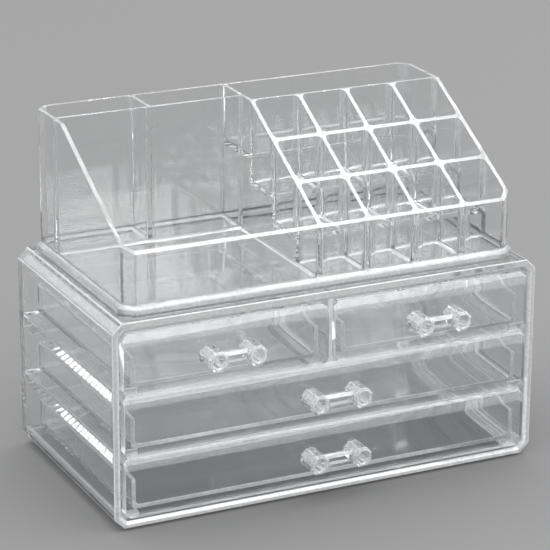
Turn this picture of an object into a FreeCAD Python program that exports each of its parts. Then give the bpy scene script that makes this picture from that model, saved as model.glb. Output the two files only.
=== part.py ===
"""Desk organizer: a clear cabinet with four drawers and a lift-off compartment tray.

Frame: +Z up, millimetres. The origin is on the surface that the feet stand on, at the middle of
the footprint from the handles to the back, and the drawers open towards -Y.

The formulas below measure from the middle of the cabinet's underside. place() moves every
sub-part from there to the frame, by half of what the handles stand out and by the feet's height.
"""
import FreeCAD, Part
import math
import os
import re

import Sketcher
from FreeCAD import Vector

# Driving dimensions in millimetres, copied into the spreadsheet below.
DIMENSIONS = {
    # cabinet
    "cabinet_width": 240.0,
    "cabinet_depth": 130.0,
    "cabinet_height": 109.4,
    "cabinet_corner": 5.3,
    "side_thickness": 4.0,
    "base_thickness": 3.4,
    "roof_thickness": 4.6,
    "inner_corner": 3.0,
    "rim_bevel": 1.2,
    "back_thickness": 3.0,
    "foot_radius": 1.8,
    "foot_height": 1.5,
    "foot_inset": 9.0,
    # shelves and runners
    "shelf_thickness": 2.5,
    "shelf_setback": 4.4,
    "runner_height": 5.3,
    "runner_width": 10.0,
    "divider_thickness": 2.4,
    "divider_foot_width": 22.0,
    "divider_setback": 1.0,
    # drawers
    "first_front_level": 5.5,
    "tier_pitch": 32.7,
    "front_height": 32.0,
    "front_thickness": 5.2,
    "front_proud": 1.3,
    "front_corner": 2.6,
    "front_side_gap": 1.5,
    "front_middle_gap": 1.8,
    "bevel_height": 6.3,
    "bevel_depth": 2.8,
    "tub_side_inset": 4.6,
    "tub_bottom_inset": 3.5,
    "tub_top_inset": 12.0,
    "tub_wall": 2.2,
    "tub_back_gap": 3.0,
    "tub_corner": 4.0,
    # handles
    "post_across": 10.4,
    "post_length": 13.0,
    "post_bevel": 1.0,
    "bore_radius": 3.1,
    "bore_depth": 9.0,
    "bar_height": 6.6,
    "bar_depth": 5.0,
    "bar_bevel": 1.5,
    "finger_gap": 5.0,
    "peg_radius": 2.0,
    "peg_clearance": 0.1,
    "small_post_spacing": 21.6,
    "wide_post_spacing": 24.5,
    "handle_drop": 0.3,
    # tray
    "tray_width": 219.2,
    "tray_front": -57.4,
    "tray_back": 62.0,
    "tray_height": 77.1,
    "tray_front_height": 31.6,
    "tray_corner": 5.5,
    "tray_wall": 2.2,
    "flange_width": 2.4,
    "flange_height": 4.0,
    "sheet_thickness": 2.0,
    "tray_floor_level": 3.8,
    "step_rise": 14.2,
    "rear_wall_place": 26.2,
    "left_wall_place": 36.5,
    "row_pitch": 27.5,
    "grid_side_place": -2.1,
    "column_pitch": 27.65,
    "rear_divider_place": -55.5,
}

OCTAGON_SIDES = 8
ROW_COUNT = 3
COLUMN_COUNT = 4

doc = FreeCAD.newDocument("desk_organizer")
sheet = doc.addObject("Spreadsheet::Sheet", "dims")
for row, (alias, number) in enumerate(DIMENSIONS.items(), start=1):
    sheet.set(f"A{row}", alias)
    sheet.set(f"B{row}", str(number))
    sheet.setAlias(f"B{row}", alias)
doc.recompute()

nodes = []


# ---------------------------------------------------------------- helpers

def linked(formula):
    """The formula with each dimension's name turned into its spreadsheet cell."""
    def cell(match):
        word = match.group(0)
        return f"dims.{word}" if word in DIMENSIONS else word
    return re.sub(r"[a-z_]+", cell, str(formula))


def value(formula):
    """The present number of a formula written in dimension names."""
    return float(sheet.evalExpression(linked(formula)))


def bind(item, target, formula):
    """Tie one property of an object to a formula."""
    item.setExpression(target, linked(formula))


def place(item, across=0, along=0, up=0):
    """Tie an object's position to three formulas, moved from the cabinet's underside to the frame."""
    along = f"({along}) + (front_proud + post_length) / 2"
    up = f"({up}) + foot_height"
    for letter, formula in zip("xyz", (across, along, up)):
        bind(item, f"Placement.Base.{letter}", formula)


def keep(item, label):
    """Name an object as one finished sub-part."""
    item.Label = label
    nodes.append(item)
    return item


def block(name, low, high):
    """A plain box between two corners given as formulas."""
    box = doc.addObject("Part::Box", name)
    for target, start, end in zip(("Length", "Width", "Height"), low, high):
        bind(box, target, f"({end}) - ({start})")
    place(box, *low)
    return box


def chamfered(low_x, high_x, low_y, high_y, leg):
    """The eight corners of a rectangle with its corners cut off."""
    low_x, high_x, low_y, high_y = (f"({edge})" for edge in (low_x, high_x, low_y, high_y))
    return [
        (f"{low_x} + {leg}", low_y),
        (f"{high_x} - {leg}", low_y),
        (high_x, f"{low_y} + {leg}"),
        (high_x, f"{high_y} - {leg}"),
        (f"{high_x} - {leg}", high_y),
        (f"{low_x} + {leg}", high_y),
        (low_x, f"{high_y} - {leg}"),
        (low_x, f"{low_y} + {leg}"),
    ]


def rectangle(low_x, high_x, low_y, high_y):
    """The four corners of a plain rectangle."""
    return [(low_x, low_y), (high_x, low_y), (high_x, high_y), (low_x, high_y)]


def octagon(centre_x, centre_y, across):
    """The corners of a regular octagon, its flats square to the axes."""
    flat = math.tan(math.pi / OCTAGON_SIDES) / 2
    half = f"({across}) / 2"
    leg = f"({across}) * {0.5 - flat:.9f}"
    return chamfered(f"{centre_x} - {half}", f"{centre_x} + {half}",
                     f"{centre_y} - {half}", f"{centre_y} + {half}", leg)


def pin_down(sketch, shape, point, across, up):
    """Fix one point of a sketch at formulas for its two coordinates."""
    for kind, formula in (("DistanceX", across), ("DistanceY", up)):
        held = Sketcher.Constraint(kind, -1, 1, shape, point, value(formula))
        number = sketch.addConstraint(held)
        bind(sketch, f"Constraints[{number}]", formula)


def add_polygon(sketch, corners):
    """Draw a closed outline whose every corner is held by formulas."""
    points = [Vector(value(across), value(up), 0) for across, up in corners]
    first = sketch.GeometryCount
    for start, end in zip(points, points[1:] + points[:1]):
        sketch.addGeometry(Part.LineSegment(start, end), False)
    for index, corner in enumerate(corners):
        following = first + (index + 1) % len(corners)
        sketch.addConstraint(Sketcher.Constraint("Coincident", first + index, 2, following, 1))
    for index, corner in enumerate(corners):
        pin_down(sketch, first + index, 1, *corner)


def add_circle(sketch, across, up, radius):
    """Draw a circle held by formulas for its centre and radius."""
    centre = Vector(value(across), value(up), 0)
    shape = sketch.addGeometry(Part.Circle(centre, Vector(0, 0, 1), value(radius)), False)
    number = sketch.addConstraint(Sketcher.Constraint("Radius", shape, value(radius)))
    bind(sketch, f"Constraints[{number}]", radius)
    pin_down(sketch, shape, 3, across, up)


def new_body(name):
    """A PartDesign body for one sub-part."""
    return doc.addObject("PartDesign::Body", name)


def sketch_on(body, role, name, outlines=(), circles=(), offset=0):
    """A sketch on one of the body's own origin planes, moved along its normal by a formula."""
    sketch = body.newObject("Sketcher::SketchObject", name)
    plane = next(item for item in body.Origin.OriginFeatures if item.Role == role)
    sketch.AttachmentSupport = [(plane, "")]
    sketch.MapMode = "FlatFace"
    bind(sketch, "AttachmentOffset.Base.z", offset)
    for outline in outlines:
        add_polygon(sketch, outline)
    for circle in circles:
        add_circle(sketch, *circle)
    return sketch


def pad(body, sketch, length, back=False):
    """Raise a sketch into a solid; back=True goes against the sketch's normal."""
    feature = body.newObject("PartDesign::Pad", f"{sketch.Name}_pad")
    feature.Profile = sketch
    feature.Reversed = back
    bind(feature, "Length", length)
    doc.recompute()
    return feature


def pocket(body, sketch, length, back=False):
    """Cut a sketch out of the body, and make sure that it did cut."""
    before = body.Shape.Volume
    feature = body.newObject("PartDesign::Pocket", f"{sketch.Name}_pocket")
    feature.Profile = sketch
    feature.Reversed = back
    bind(feature, "Length", length)
    doc.recompute()
    if body.Shape.Volume > before - 1.0:
        raise RuntimeError(f"{feature.Name} cuts nothing")
    return feature


def edges_where(shape, test):
    """Names of the edges whose two end points both pass a test."""
    names = []
    for index, edge in enumerate(shape.Edges, start=1):
        if all(test(vertex.Point) for vertex in edge.Vertexes):
            names.append(f"Edge{index}")
    return names


def near(first, second):
    """Whether two lengths agree."""
    return abs(first - second) < 1e-4


def dress(body, kind, target, size, test, skip_front=False):
    """Add a Chamfer or Fillet on the edges of the body's tip that pass a test.

    skip_front leaves out the edges that lie wholly in the plane y = 0.
    """
    base = body.Tip
    names = edges_where(base.Shape, test)
    if skip_front:
        in_front = edges_where(base.Shape, lambda point: near(point.y, 0))
        names = [name for name in names if name not in in_front]
    if not names:
        raise RuntimeError(f"no edge of {body.Name} passes for its {kind}")
    feature = body.newObject(f"PartDesign::{kind}", f"{body.Name}_{kind.lower()}_{len(body.Group)}")
    feature.Base = (base, names)
    bind(feature, target, size)
    doc.recompute()
    if feature.Shape.isNull():
        raise RuntimeError(f"{feature.Name} makes nothing")
    return feature


# ---------------------------------------------------------------- cabinet

INNER_HALF = "cabinet_width / 2 - side_thickness"
FRONT_PLANE = "-cabinet_depth / 2"
BACK_PLANE = "cabinet_depth / 2"
BAY_BACK = f"{BACK_PLANE} - back_thickness"
BAY_TOP = "cabinet_height - roof_thickness"
SHELF_FRONT = f"{FRONT_PLANE} + shelf_setback"


def inner_outline():
    """The cabinet's inside in front view."""
    return chamfered(f"-({INNER_HALF})", INNER_HALF, "base_thickness", BAY_TOP, "inner_corner")


def build_sleeve():
    """The chamfered four-sided sleeve: base, sides and roof in one wall, bevelled round its mouth."""
    body = new_body("cabinet_sleeve_body")
    outer = chamfered("-cabinet_width / 2", "cabinet_width / 2", "0", "cabinet_height", "cabinet_corner")
    pad(body, sketch_on(body, "XZ_Plane", "sleeve_outline", [outer, inner_outline()]), "cabinet_depth")
    half_width = value("cabinet_width / 2 - side_thickness / 2")
    low = value("base_thickness / 2")
    high = value("cabinet_height - roof_thickness / 2")
    depth = value("cabinet_depth")

    def on_outer_mouth(point):
        outside = abs(point.x) > half_width or point.z < low or point.z > high
        return near(point.y, -depth) and outside

    dress(body, "Chamfer", "Size", "rim_bevel", on_outer_mouth)
    place(body, 0, BACK_PLANE, 0)
    keep(body, "cabinet_sleeve")


def build_back():
    """The back panel, let into the rear of the sleeve."""
    body = new_body("back_panel_body")
    pad(body, sketch_on(body, "XZ_Plane", "back_outline", [inner_outline()]), "back_thickness")
    place(body, 0, BACK_PLANE, 0)
    keep(body, "back_panel")


def build_feet():
    """Four small round feet under the corners."""
    feet = []
    for side, end in ((-1, -1), (1, -1), (-1, 1), (1, 1)):
        foot = doc.addObject("Part::Cylinder", f"foot_{len(feet) + 1}")
        bind(foot, "Radius", "foot_radius")
        bind(foot, "Height", "foot_height")
        place(foot, f"{side} * (cabinet_width / 2 - foot_inset)",
              f"{end} * (cabinet_depth / 2 - foot_inset)", "-foot_height")
        feet.append(foot)
    group = doc.addObject("Part::Compound", "feet_group")
    group.Links = feet
    keep(group, "feet")


def shelf_level(tier):
    """Formula for the top of the surface that a tier's runners stand on."""
    return f"(base_thickness + {tier} * tier_pitch)"


def front_level(tier):
    """Formula for the bottom edge of a tier's drawer fronts."""
    return f"(first_front_level + {tier} * tier_pitch)"


def build_shelf(tier, label):
    """A shelf across the cabinet under the given tier."""
    low = (f"-({INNER_HALF})", SHELF_FRONT, f"{shelf_level(tier)} - shelf_thickness")
    high = (INNER_HALF, BAY_BACK, shelf_level(tier))
    keep(block(f"{label}_plate", low, high), label)


def build_runner(tier, side, label):
    """A strip along one side wall that carries a drawer; the lowest one fits the sleeve's corner."""
    body = new_body(f"{label}_body")
    wall = f"{side} * ({INNER_HALF})"
    inner = f"{side} * (({INNER_HALF}) - runner_width)"
    foot = shelf_level(tier)
    top = f"{foot} + runner_height"
    outline = [(inner, foot), (wall, foot), (wall, top), (inner, top)]
    if tier == 0:
        corner = f"{wall} - {side} * inner_corner"
        outline[1:2] = [(corner, foot), (wall, f"{foot} + inner_corner")]
    sketch = sketch_on(body, "XZ_Plane", f"{label}_outline", [outline])
    pad(body, sketch, f"({BAY_BACK}) - ({SHELF_FRONT})")
    place(body, 0, BAY_BACK, 0)
    keep(body, label)


def build_centre_divider():
    """The upright between the two small drawers, on a foot that carries their inner sides."""
    floor = shelf_level(2)
    half = "divider_thickness / 2"
    web = block("divider_web", (f"-{half}", SHELF_FRONT, floor), (half, BAY_BACK, BAY_TOP))
    nose = block("divider_nose", (f"-{half}", f"{FRONT_PLANE} + divider_setback", front_level(2)),
                 (half, SHELF_FRONT, BAY_TOP))
    foot = block("divider_foot", ("-divider_foot_width / 2", SHELF_FRONT, floor),
                 ("divider_foot_width / 2", BAY_BACK, f"{floor} + runner_height"))
    divider = doc.addObject("Part::MultiFuse", "centre_divider_fuse")
    divider.Shapes = [web, nose, foot]
    divider.Refine = True
    keep(divider, "centre_divider")


# ---------------------------------------------------------------- drawers

WIDE_HALF = f"({INNER_HALF} - front_side_gap)"


def build_front(name, low_x, high_x, tier, spacing):
    """The drawer front: a thick plate, its top edge bevelled back, with two peg holes."""
    body = new_body(f"{name}_front_body")
    outline = chamfered(low_x, high_x, "0", "front_height", "front_corner")
    pad(body, sketch_on(body, "XZ_Plane", f"{name}_front_outline", [outline]), "front_thickness")
    bevel = [
        ("-front_thickness", "front_height - bevel_height"),
        ("-front_thickness + bevel_depth", "front_height"),
        ("-front_thickness + bevel_depth", "front_height + bevel_height"),
        ("-front_thickness - bevel_depth", "front_height + bevel_height"),
        ("-front_thickness - bevel_depth", "front_height - bevel_height"),
    ]
    middle = f"(({low_x}) + ({high_x})) / 2"
    pocket(body, sketch_on(body, "YZ_Plane", f"{name}_bevel", [bevel], offset=low_x),
           f"({high_x}) - ({low_x})", back=True)
    hole = "peg_radius + peg_clearance"
    level = "front_height / 2 - handle_drop"
    holes = [(f"{middle} - {spacing} / 2", level, hole), (f"{middle} + {spacing} / 2", level, hole)]
    pocket(body, sketch_on(body, "XZ_Plane", f"{name}_peg_holes", circles=holes), "front_thickness",
           back=True)
    place(body, 0, f"{FRONT_PLANE} - front_proud + front_thickness", front_level(tier))
    keep(body, f"{name}_front")


def build_tub(name, low_x, high_x, tier):
    """The drawer's open box behind its front: floor, back and two sides, rounded where they meet."""
    body = new_body(f"{name}_tub_body")
    start = f"({low_x}) + tub_side_inset"
    end = f"({high_x}) - tub_side_inset"
    face = f"{FRONT_PLANE} - front_proud + front_thickness"
    depth = f"({BAY_BACK} - tub_back_gap - ({face}))"
    tall = "(front_height - tub_bottom_inset - tub_top_inset)"
    outer = rectangle(start, end, "0", depth)
    pad(body, sketch_on(body, "XY_Plane", f"{name}_tub_outline", [outer]), tall)
    left, right, back = value(start), value(end), value(depth)

    def outer_upright(point):
        return near(point.y, back) and (near(point.x, left) or near(point.x, right))

    dress(body, "Fillet", "Radius", "tub_corner", outer_upright)
    dress(body, "Fillet", "Radius", "tub_wall", lambda point: near(point.z, 0), skip_front=True)
    near_side, far_side = f"{start} + tub_wall", f"{end} - tub_wall"
    rear = f"{depth} - tub_wall"
    leg = "(tub_corner - tub_wall)"
    inner = [
        (near_side, "-tub_wall"),
        (far_side, "-tub_wall"),
        (far_side, f"{rear} - {leg}"),
        (f"{far_side} - {leg}", rear),
        (f"{near_side} + {leg}", rear),
        (near_side, f"{rear} - {leg}"),
    ]
    sketch = sketch_on(body, "XY_Plane", f"{name}_tub_inside", [inner], offset="tub_wall")
    pocket(body, sketch, tall, back=True)
    place(body, 0, face, f"{front_level(tier)} + tub_bottom_inset")
    keep(body, f"{name}_tub")


def build_handle(name, low_x, high_x, tier, spacing):
    """A pull: two hollow faceted posts, a bevelled bar between them and a peg behind each post."""
    body = new_body(f"{name}_handle_body")
    left, right = f"-{spacing} / 2", f"{spacing} / 2"
    posts = [octagon(left, "0", "post_across"), octagon(right, "0", "post_across")]
    bar_middle = "-(finger_gap + bar_depth / 2)"
    bar = chamfered(f"{bar_middle} - bar_depth / 2", f"{bar_middle} + bar_depth / 2",
                    "-bar_height / 2", "bar_height / 2", "bar_bevel")
    pad(body, sketch_on(body, "YZ_Plane", f"{name}_bar_outline", [bar], offset=left), spacing)
    pad(body, sketch_on(body, "XZ_Plane", f"{name}_post_outline", posts), "post_length")
    length = value("post_length")
    dress(body, "Chamfer", "Size", "post_bevel", lambda point: near(point.y, -length))
    bores = [(left, "0", "bore_radius"), (right, "0", "bore_radius")]
    pocket(body, sketch_on(body, "XZ_Plane", f"{name}_bores", circles=bores, offset="post_length"),
           "bore_depth")
    pegs = [(left, "0", "peg_radius"), (right, "0", "peg_radius")]
    pad(body, sketch_on(body, "XZ_Plane", f"{name}_pegs", circles=pegs), "front_thickness", back=True)
    place(body, f"(({low_x}) + ({high_x})) / 2", f"{FRONT_PLANE} - front_proud",
          f"{front_level(tier)} + front_height / 2 - handle_drop")
    keep(body, f"{name}_handle")


def build_drawer(name, low_x, high_x, tier, spacing):
    """One drawer: its tub, its front and its handle."""
    build_tub(name, low_x, high_x, tier)
    build_front(name, low_x, high_x, tier, spacing)
    build_handle(name, low_x, high_x, tier, spacing)


# ---------------------------------------------------------------- tray

TRAY_HALF = "tray_width / 2"
TRAY_INNER_HALF = "(tray_width / 2 - tray_wall)"
TRAY_INNER_FRONT = "(tray_front + tray_wall)"
TRAY_INNER_BACK = "(tray_back - tray_wall)"
TRAY_BASE = "cabinet_height"
HALF_SHEET = "sheet_thickness / 2"
SLANT_START = f"(rear_wall_place - {HALF_SHEET})"


def tread_level(step):
    """Formula for the height of a tread above the tray's base; step 0 is the lowest."""
    return f"(tray_floor_level + {step} * step_rise)"


def wall_place(row):
    """Formula for the middle of a cross wall; row 0 is the full-height one at the rear."""
    return f"(rear_wall_place - {row} * row_pitch)"


def slant_height(along):
    """Formula for the height of the slanted rim above the tray's base at a place along Y."""
    slope = f"((tray_height - tray_front_height) / ({SLANT_START} - tray_front))"
    return f"(tray_front_height + {slope} * (({along}) - tray_front))"


def build_tray_shell():
    """The tray's four outer walls on their base flange, the sides slanting down to the front."""
    body = new_body("tray_shell_body")
    flange = chamfered(f"-({TRAY_HALF} + flange_width)", f"{TRAY_HALF} + flange_width",
                       "tray_front - flange_width", "tray_back + flange_width", "tray_corner")
    outer = chamfered(f"-{TRAY_HALF}", TRAY_HALF, "tray_front", "tray_back", "tray_corner")
    inner = chamfered(f"-{TRAY_INNER_HALF}", TRAY_INNER_HALF, TRAY_INNER_FRONT, TRAY_INNER_BACK,
                      "(tray_corner - tray_wall / 2)")
    pad(body, sketch_on(body, "XY_Plane", "tray_flange_outline", [flange]), "flange_height")
    pad(body, sketch_on(body, "XY_Plane", "tray_wall_outline", [outer]), "tray_height")
    pocket(body, sketch_on(body, "XY_Plane", "tray_inside_outline", [inner]), "tray_height", back=True)
    ahead = "tray_front - flange_width"
    slant = [
        (SLANT_START, "tray_height"),
        (SLANT_START, "tray_height * 2"),
        (ahead, "tray_height * 2"),
        (ahead, slant_height(ahead)),
    ]
    pocket(body, sketch_on(body, "YZ_Plane", "tray_slant_outline", [slant], offset="-tray_width"),
           "tray_width * 2", back=True)
    place(body, 0, 0, TRAY_BASE)
    keep(body, "tray_shell")


def build_tray_floor():
    """The flat floor of the left half, under the low bin and the two tall compartments."""
    body = new_body("tray_floor_body")
    leg = "(tray_corner - tray_wall / 2)"
    right = f"grid_side_place - {HALF_SHEET}"
    outline = [
        (right, TRAY_INNER_FRONT),
        (right, TRAY_INNER_BACK),
        (f"-{TRAY_INNER_HALF} + {leg}", TRAY_INNER_BACK),
        (f"-{TRAY_INNER_HALF}", f"{TRAY_INNER_BACK} - {leg}"),
        (f"-{TRAY_INNER_HALF}", f"{TRAY_INNER_FRONT} + {leg}"),
        (f"-{TRAY_INNER_HALF} + {leg}", TRAY_INNER_FRONT),
    ]
    pad(body, sketch_on(body, "XY_Plane", "tray_floor_outline", [outline]), "sheet_thickness")
    place(body, 0, 0, f"{TRAY_BASE} + tray_floor_level - sheet_thickness")
    keep(body, "tray_floor")


def build_stepped_floor():
    """The folded floor of the right half: a low tread, two higher ones and the rear slot's."""
    body = new_body("stepped_floor_body")
    top = [(TRAY_INNER_FRONT, tread_level(0))]
    under = [(TRAY_INNER_FRONT, f"{tread_level(0)} - sheet_thickness")]
    for step in range(1, ROW_COUNT + 1):
        face = f"{wall_place(ROW_COUNT - step)} - {HALF_SHEET}"
        top += [(face, tread_level(step - 1)), (face, tread_level(step))]
        rear = f"{face} + sheet_thickness"
        under += [(rear, f"{tread_level(step - 1)} - sheet_thickness"),
                  (rear, f"{tread_level(step)} - sheet_thickness")]
    top.append((TRAY_INNER_BACK, tread_level(ROW_COUNT)))
    under.append((TRAY_INNER_BACK, f"{tread_level(ROW_COUNT)} - sheet_thickness"))
    start = f"grid_side_place + {HALF_SHEET}"
    sketch = sketch_on(body, "YZ_Plane", "stepped_floor_outline", [top + under[::-1]], offset=start)
    pad(body, sketch, f"{TRAY_INNER_HALF} - ({start})")
    leg = value("tray_corner - tray_wall / 2")
    corner_x, back_y = value(TRAY_INNER_HALF), value(TRAY_INNER_BACK)
    front_y = value(TRAY_INNER_FRONT)

    def meets_shell_corner(point):
        return near(point.x, corner_x) and (near(point.y, back_y) or near(point.y, front_y))

    dress(body, "Chamfer", "Size", "tray_corner - tray_wall / 2", meets_shell_corner)
    place(body, 0, 0, TRAY_BASE)
    keep(body, "stepped_floor")


def upright(label, outline, middle):
    """A thin upright sheet in the YZ plane, its middle at a place along X."""
    body = new_body(f"{label}_body")
    sketch = sketch_on(body, "YZ_Plane", f"{label}_outline", [outline], offset=f"{middle} - {HALF_SHEET}")
    pad(body, sketch, "sheet_thickness")
    place(body, 0, 0, TRAY_BASE)
    keep(body, label)


def build_grid_side():
    """The wall between the low bin and the stepped grid, with the same slanted top as the sides."""
    under = "tray_floor_level - sheet_thickness"
    outline = [
        (TRAY_INNER_FRONT, under),
        (TRAY_INNER_BACK, under),
        (TRAY_INNER_BACK, "tray_height"),
        (SLANT_START, "tray_height"),
        (TRAY_INNER_FRONT, slant_height(TRAY_INNER_FRONT)),
    ]
    upright("grid_side_wall", outline, "grid_side_place")


def build_column_divider(column):
    """A divider down the steps, its foot on the treads and its top on the slant."""
    rear = f"{wall_place(0)} - {HALF_SHEET}"
    outline = [(TRAY_INNER_FRONT, slant_height(TRAY_INNER_FRONT)), (TRAY_INNER_FRONT, tread_level(0))]
    for step in range(1, ROW_COUNT):
        face = f"{wall_place(ROW_COUNT - step)} - {HALF_SHEET}"
        outline += [(face, tread_level(step - 1)), (face, tread_level(step))]
    outline += [(rear, tread_level(ROW_COUNT - 1)), (rear, "tray_height")]
    upright(f"column_divider_{column}", outline, f"(grid_side_place + {column} * column_pitch)")


def build_row_wall(row):
    """A cross wall between the dividers: one sheet for each column, standing on its riser."""
    face = f"{wall_place(row)} - {HALF_SHEET}"
    foot = tread_level(ROW_COUNT - row)
    sheets = []
    for column in range(COLUMN_COUNT):
        start = f"grid_side_place + {column} * column_pitch + {HALF_SHEET}"
        end = f"grid_side_place + {column + 1} * column_pitch - {HALF_SHEET}"
        if column == COLUMN_COUNT - 1:
            end = TRAY_INNER_HALF
        low = (start, face, f"{TRAY_BASE} + {foot}")
        high = (end, f"{face} + sheet_thickness", f"{TRAY_BASE} + {slant_height(face)}")
        sheets.append(block(f"row_{row}_sheet_{column + 1}", low, high))
    group = doc.addObject("Part::Compound", f"row_wall_{row}_group")
    group.Links = sheets
    keep(group, f"row_wall_{row}")


def build_cross_walls():
    """The two full-height walls across the tray; the left one stands further back."""
    top = f"{TRAY_BASE} + tray_height"
    face = f"left_wall_place - {HALF_SHEET}"
    low = (f"-{TRAY_INNER_HALF}", face, f"{TRAY_BASE} + tray_floor_level")
    high = (f"grid_side_place - {HALF_SHEET}", f"{face} + sheet_thickness", top)
    keep(block("cross_wall_left_plate", low, high), "left_cross_wall")
    face = f"{wall_place(0)} - {HALF_SHEET}"
    low = (f"grid_side_place + {HALF_SHEET}", face, f"{TRAY_BASE} + {tread_level(ROW_COUNT)}")
    high = (TRAY_INNER_HALF, f"{face} + sheet_thickness", top)
    keep(block("cross_wall_right_plate", low, high), "right_cross_wall")


def build_rear_divider():
    """The wall that parts the two tall compartments at the rear left."""
    low = (f"rear_divider_place - {HALF_SHEET}", f"left_wall_place + {HALF_SHEET}",
           f"{TRAY_BASE} + tray_floor_level")
    high = (f"rear_divider_place + {HALF_SHEET}", TRAY_INNER_BACK, f"{TRAY_BASE} + tray_height")
    keep(block("rear_divider_plate", low, high), "rear_divider")


# ---------------------------------------------------------------- assembly

build_sleeve()
build_back()
build_feet()
build_shelf(1, "lower_shelf")
build_shelf(2, "upper_shelf")
for tier_number, tier_name in enumerate(("bottom", "middle", "top")):
    build_runner(tier_number, -1, f"{tier_name}_left_runner")
    build_runner(tier_number, 1, f"{tier_name}_right_runner")
build_centre_divider()

build_drawer("bottom", f"-{WIDE_HALF}", WIDE_HALF, 0, "wide_post_spacing")
build_drawer("middle", f"-{WIDE_HALF}", WIDE_HALF, 1, "wide_post_spacing")
build_drawer("left_small", f"-{WIDE_HALF}", "-front_middle_gap", 2, "small_post_spacing")
build_drawer("right_small", "front_middle_gap", WIDE_HALF, 2, "small_post_spacing")

build_tray_shell()
build_tray_floor()
build_stepped_floor()
build_grid_side()
for column_number in range(1, COLUMN_COUNT):
    build_column_divider(column_number)
for row_number in range(1, ROW_COUNT):
    build_row_wall(row_number)
build_cross_walls()
build_rear_divider()

doc.recompute()
for item in doc.Objects:
    if {"Invalid", "Error"} & set(item.State):
        raise RuntimeError(f"{item.Name} failed: {item.State}")
os.makedirs("parts", exist_ok=True)
for node in nodes:
    if node.Shape.isNull() or not node.Shape.isValid():
        raise RuntimeError(f"{node.Label} has no valid shape")
    node.Shape.exportStep(f"parts/{node.Label}.step")
    print(f"{node.Label}: {node.Shape.Volume / 1000:.2f} cm3, {len(node.Shape.Solids)} solid(s)")
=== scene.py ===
"""A clear desk organizer: a chamfered cabinet of four drawers under a lift-off tray of compartments."""

import sys
import logging
import math
from dataclasses import dataclass
from enum import Enum
from typing import Any, Callable, Iterable, Mapping, Sequence

import bmesh
import bpy
from mathutils import Matrix, Vector


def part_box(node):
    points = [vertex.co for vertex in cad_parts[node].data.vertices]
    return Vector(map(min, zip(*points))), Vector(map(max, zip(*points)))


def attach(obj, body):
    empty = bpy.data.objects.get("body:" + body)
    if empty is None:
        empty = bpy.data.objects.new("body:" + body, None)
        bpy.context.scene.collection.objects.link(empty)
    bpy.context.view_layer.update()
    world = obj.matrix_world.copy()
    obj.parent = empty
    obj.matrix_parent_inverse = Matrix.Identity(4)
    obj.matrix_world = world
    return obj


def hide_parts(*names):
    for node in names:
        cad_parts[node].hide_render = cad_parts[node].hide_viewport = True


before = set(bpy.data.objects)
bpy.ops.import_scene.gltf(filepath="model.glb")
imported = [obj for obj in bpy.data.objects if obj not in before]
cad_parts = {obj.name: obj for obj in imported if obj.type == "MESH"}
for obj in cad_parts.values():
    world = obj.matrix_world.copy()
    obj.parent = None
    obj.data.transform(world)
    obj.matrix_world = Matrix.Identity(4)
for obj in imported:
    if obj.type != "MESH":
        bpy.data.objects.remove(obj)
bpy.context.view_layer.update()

MM = 0.001
AIR_GAP = 0.08 * MM
OVERSHOOT = 20 * MM
WELD = 0.002 * MM
SHARP_ANGLE = math.radians(50)
SOFT_ANGLE = math.radians(28)
FLAT_ANGLE = math.radians(0.3)
SQUARE = 0.985
DIAGONAL_SPREAD = 2 - math.sqrt(2)

Point = tuple[float, float]
Colour = tuple[float, float, float, float]

log = logging.getLogger("desk organizer")


class Along(Enum):
    """The direction in which a moulding's outlines follow one another."""

    X = "x"
    Y = "y"
    Z = "z"


class Join(Enum):
    """How one solid acts on another."""

    CUT = "DIFFERENCE"
    WELD = "UNION"
    KEEP = "INTERSECT"


class PaintedGleam(Enum):
    """How much light a face passes; the rest it scatters off painted white, a painted glow that stands in for
    the light a clear edge pipes.
    """

    CLEAR = 1.0
    CHAMFER = 0.78
    RIM = 0.66
    EDGE = 0.4

    @property
    def slot(self) -> int:
        """The material slot that faces of this kind use."""
        return list(PaintedGleam).index(self)


# --------------------------------------------------------------------------------------------------
# Node trees


class Signal:
    """One number on its way through a node tree, so that sums are written as sums."""

    def __init__(self, bench: "Bench", socket: bpy.types.NodeSocket) -> None:
        """Holds a socket and the bench that it belongs to."""
        self.bench = bench
        self.socket = socket

    def __add__(self, other: Any) -> "Signal":
        """Adds a number or signal."""
        return self.bench.sum("ADD", self, other)

    def __sub__(self, other: Any) -> "Signal":
        """Takes a number or signal away."""
        return self.bench.sum("SUBTRACT", self, other)

    def __mul__(self, other: Any) -> "Signal":
        """Multiplies by a number or signal."""
        return self.bench.sum("MULTIPLY", self, other)

    def __truediv__(self, other: Any) -> "Signal":
        """Divides by a number or signal."""
        return self.bench.sum("DIVIDE", self, other)


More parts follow.
